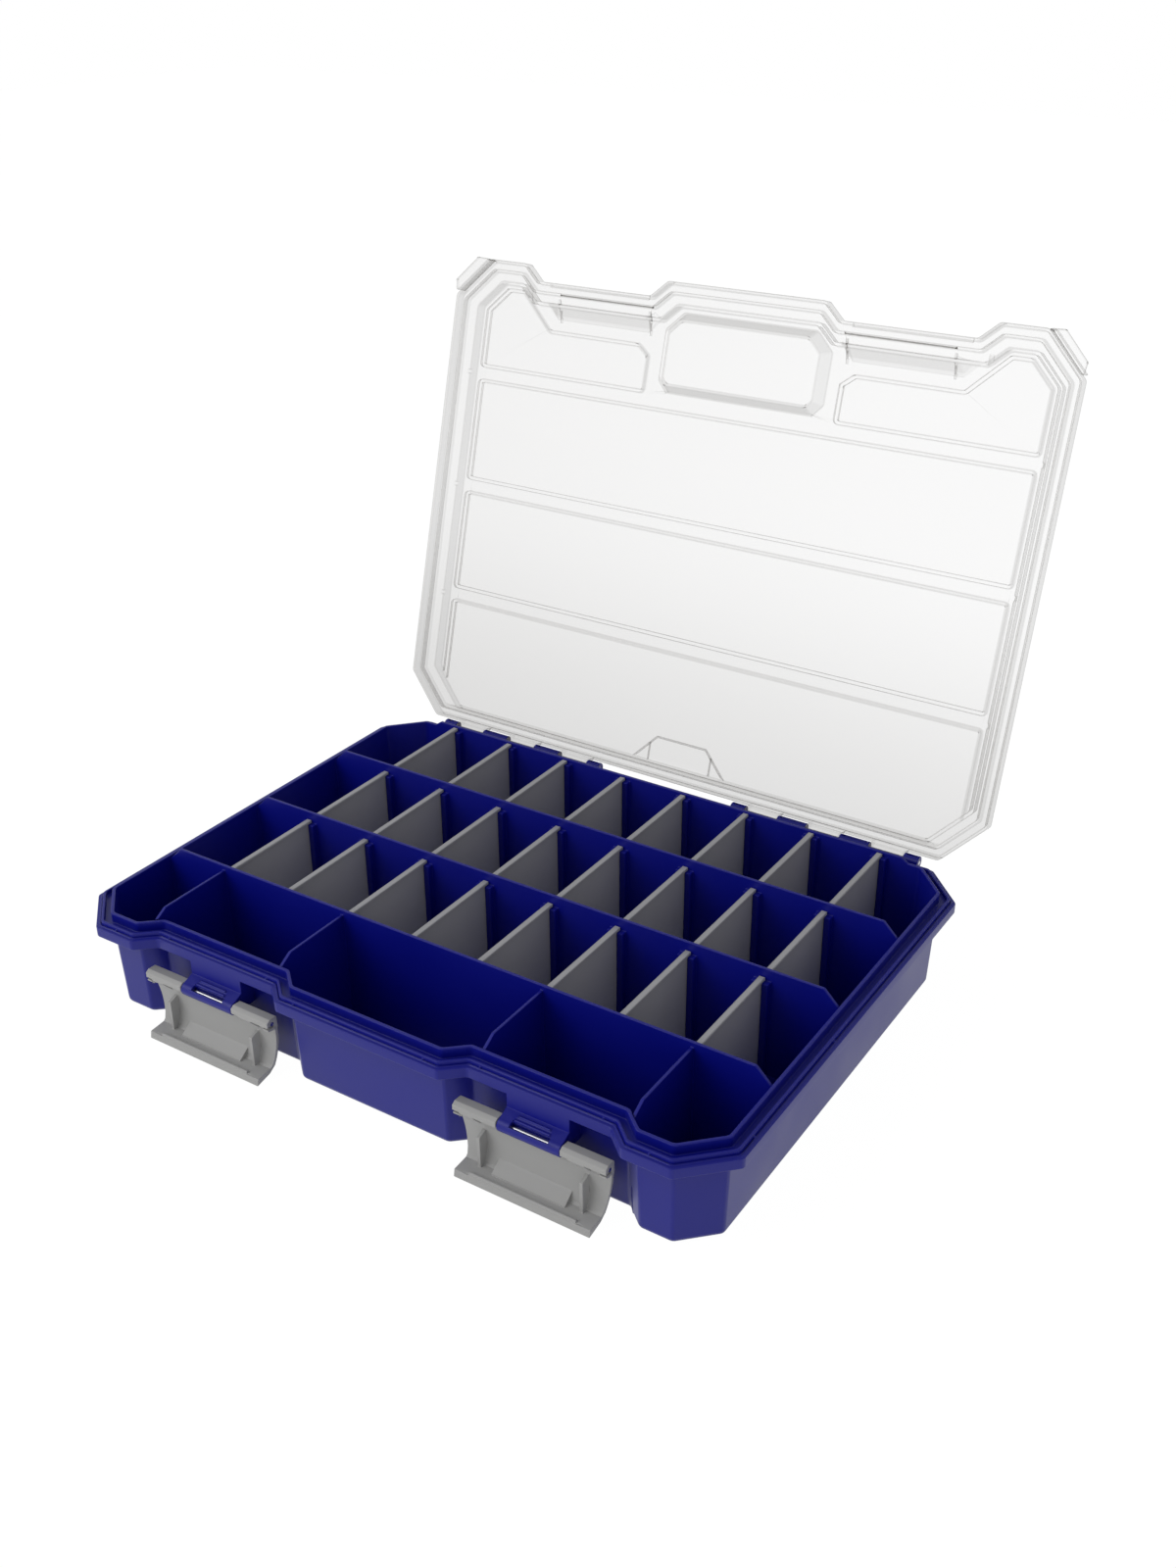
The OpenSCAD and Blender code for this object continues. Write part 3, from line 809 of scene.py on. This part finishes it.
@dataclass
class RearRidge:
    """The low ridge on the lid's outer face by the hinges, sized with the lid shut."""

    body: str
    top_half: float = 18.8 * MM
    foot_half: float = 35.3 * MM
    web_half: float = 23.3 * MM
    y_top: float = 133.0 * MM
    y_web: float = 138.4 * MM
    y_foot: float = 150.6 * MM
    face: float = 72.2 * MM
    root: float = 0.3 * MM
    width: float = 1.3 * MM
    height: float = 1.2 * MM
    radius: float = 0.25 * MM

    def strip(self, x: float, y0: float, y1: float, width: float) -> None:
        """Add a flat strip to the mesh being edited, selected alone.

        Args:
            x: Where its middle is across the lid.
            y0: Where it starts.
            y1: Where it ends.
            width: Its width across the lid.
        """
        middle = (x, (y0 + y1) / 2, self.face - self.root)
        bpy.ops.mesh.select_all(action="DESELECT")
        bpy.ops.mesh.primitive_plane_add(size=1.0, location=middle)
        bpy.ops.transform.resize(value=(width, y1 - y0, 1.0), center_override=middle)

    def outline(self, piece: bpy.types.Object) -> None:
        """Shape the trapezoid's frame, open at its foot, and the two webs.

        Args:
            piece: The object being edited.
        """
        mesh = bmesh.from_edit_mesh(piece.data)
        for vertex in mesh.verts:
            vertex.select = vertex.co.y < self.y_foot - self.width
        mesh.select_flush(True)
        bmesh.update_edit_mesh(piece.data)
        bpy.ops.transform.resize(
            value=(self.top_half / self.foot_half, 1.0, 1.0),
            center_override=(0.0, self.y_top, self.face),
        )
        bpy.ops.mesh.select_all(action="SELECT")
        bpy.ops.mesh.inset(thickness=self.width)
        bpy.ops.mesh.delete(type="FACE")
        mesh = bmesh.from_edit_mesh(piece.data)
        mesh.faces.ensure_lookup_table()
        for item in mesh.faces:
            item.select = item.calc_center_median().y > self.y_foot - self.width
        mesh.select_flush(True)
        bmesh.update_edit_mesh(piece.data)
        bpy.ops.mesh.delete(type="FACE")
        for side in (-1, 1):
            self.strip(side * self.web_half, self.y_web, self.y_foot, self.width * 0.7)

    def build(self, shop: Shop) -> bpy.types.Object:
        """Raise the ridge, turn it open with the lid and dress it.

        Args:
            shop: Where the finish comes from.

        Returns:
            The finished piece.
        """
        bpy.ops.object.select_all(action="DESELECT")
        bpy.ops.mesh.primitive_plane_add(size=1.0, location=(0.0, 0.0, 0.0))
        piece = bpy.context.object
        piece.name = "lid_rear_ridge"
        bpy.ops.object.mode_set(mode="EDIT")
        middle = (0.0, (self.y_top + self.y_foot) / 2, self.face - self.root)
        bpy.ops.mesh.select_all(action="SELECT")
        bpy.ops.transform.resize(
            value=(2 * self.foot_half, self.y_foot - self.y_top, 1.0)
        )
        bpy.ops.transform.translate(value=middle)
        self.outline(piece)
        bpy.ops.mesh.select_all(action="SELECT")
        bpy.ops.mesh.extrude_region_move(
            TRANSFORM_OT_translate={"value": (0.0, 0.0, self.height + self.root)}
        )
        bpy.ops.mesh.select_all(action="SELECT")
        bpy.ops.mesh.normals_make_consistent(inside=False)
        hinge, swing = lid_hinge()
        bpy.ops.transform.rotate(
            value=swing, orient_axis="X", center_override=tuple(hinge)
        )
        bpy.ops.object.mode_set(mode="OBJECT")
        edge = piece.modifiers.new("mould_radius", "BEVEL")
        edge.width = self.radius
        edge.segments = 2
        bpy.ops.object.modifier_apply(modifier=edge.name)
        bpy.ops.object.shade_smooth_by_angle(angle=SMOOTH)
        shop.dress(piece, Finish.LID)
        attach(piece, self.body)
        return piece


@dataclass
class SteelPin:
    """A straight pin of cut wire, as the CAD solid gives it."""

    node: str

    def build(self, shop: Shop) -> None:
        """Dress the CAD node.

        Args:
            shop: Where the finish comes from.
        """
        shop.dress(frame["nodes"][self.node], Finish.PIN)


def body_of(node: str) -> str:
    """Find the body that a CAD node is on.

    Args:
        node: The node's name.

    Returns:
        The body's name.
    """
    groups = frame["record"]["behaviour"]["bodies"]
    return next(body for body, members in groups.items() if node in members)


def main() -> None:
    """Build the case's looks and the studio."""
    logging.basicConfig(level=logging.INFO, format="%(message)s")
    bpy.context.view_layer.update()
    bpy.context.scene.view_settings.view_transform = "Standard"
    Studio().build()
    shop = Shop()
    for node in sorted(frame["nodes"]):
        if "pin" in node:
            SteelPin(node).build(shop)
        elif node == "tray":
            TrayMoulding(node, body_of(node), Finish.TRAY).build(shop)
        elif node == "lid":
            Moulding(
                node, body_of(node), Finish.LID, radius=0.5 * MM, steps=3, sharp=20.0
            ).build(shop)
            RearRidge(body_of(node)).build(shop)
        elif node.startswith("latch"):
            Moulding(node, body_of(node), Finish.LATCH, radius=0.3 * MM).build(shop)
        else:
            Moulding(node, body_of(node), Finish.DIVIDER, radius=0.3 * MM).build(shop)


if __name__ == "__main__":
    main()
